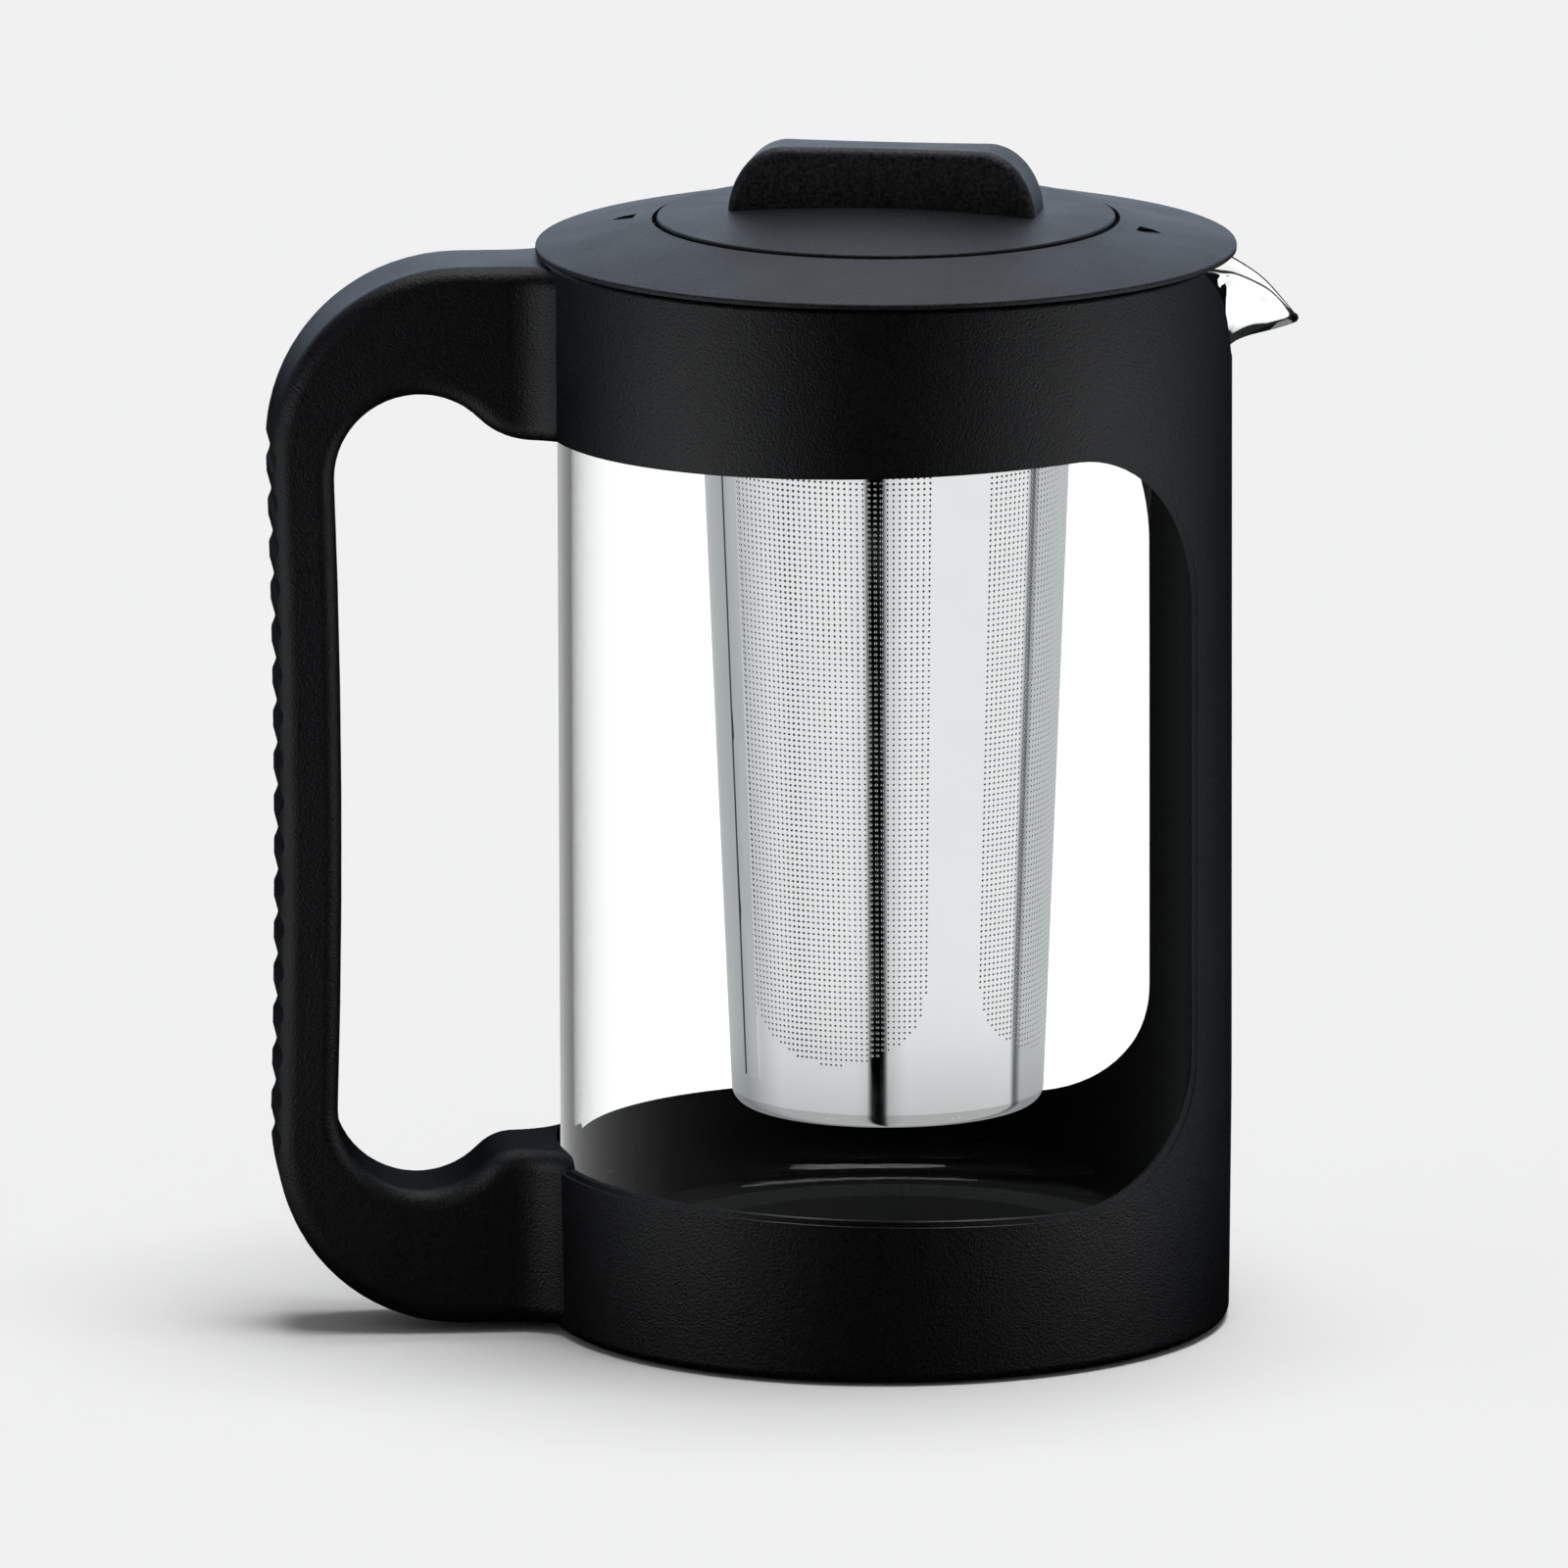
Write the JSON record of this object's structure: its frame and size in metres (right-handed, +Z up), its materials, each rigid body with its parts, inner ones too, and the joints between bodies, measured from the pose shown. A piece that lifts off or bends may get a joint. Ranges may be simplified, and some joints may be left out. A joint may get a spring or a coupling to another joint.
{
  "type": "cold brew coffee maker",
  "caption": "Glass carafe in a moulded frame with loop handle, turning lid, hanging perforated steel filter and twist-lock cap for steeping and pouring cold brew.",
  "frame": {"origin": "centre of the base pad's underside, on the glass's axis", "axes": "+Z up along the glass's axis, +X to the spout, -X to the handle, +Y to the left seen from the handle"},
  "size_m": [0.1698, 0.115, 0.1958],
  "materials": {
    "frame_plastic": "fine satin texture",
    "soft_grip": "soft satin",
    "clear_glass": "clear borosilicate glass",
    "silicone": "matte silicone",
    "inner_plastic": "smooth satin",
    "foot_pad": "matte",
    "screw_steel": "plain",
    "lid_plastic": "fine grained satin",
    "grip_plastic": "fine grained satin",
    "filter_steel": "bright stainless steel"
  },
  "bodies": {
    "carafe": {"carafe_frame": "frame_plastic", "handle_grip_strip": "soft_grip", "glass_carafe": "clear_glass", "glass_collar": "silicone", "glass_cushion": "silicone", "base_cover": "inner_plastic", "base_screws": "screw_steel", "base_pad": "foot_pad"},
    "lid_seal_ring": {"lid_seal": "silicone"},
    "lid": {"lid_cover": "lid_plastic", "lid_plug": "inner_plastic"},
    "filter": {"filter_rim": "filter_steel", "filter_tube": "filter_steel", "filter_seam": "filter_steel", "filter_cup": "filter_steel", "filter_seal": "silicone"},
    "cap_seal_ring": {"cap_seal": "silicone"},
    "cap": {"cap_disc": "lid_plastic", "cap_grip": "grip_plastic", "cap_plug": "inner_plastic", "cap_screws": "screw_steel"}
  },
  "joints": [
    {"name": "lid_lift", "type": "slide", "parent": "carafe", "child": "lid_seal_ring", "axis": [0, 0, 1], "range_m": [0, 0.16]},
    {"name": "lid_turn", "type": "hinge", "parent": "lid_seal_ring", "child": "lid", "pos_m": [0, 0, 0.1788], "axis": [0, 0, 1], "continuous": true},
    {"name": "filter_lift", "type": "slide", "parent": "lid", "child": "filter", "axis": [0, 0, 1], "range_m": [0, 0.15]},
    {"name": "cap_lift", "type": "slide", "parent": "filter", "child": "cap_seal_ring", "axis": [0, 0, 1], "range_m": [0, 0.04]},
    {"name": "cap_turn", "type": "hinge", "parent": "cap_seal_ring", "child": "cap", "pos_m": [0, 0, 0.1822], "axis": [0, 0, -1], "range_deg": [0, 60]}
  ]
}
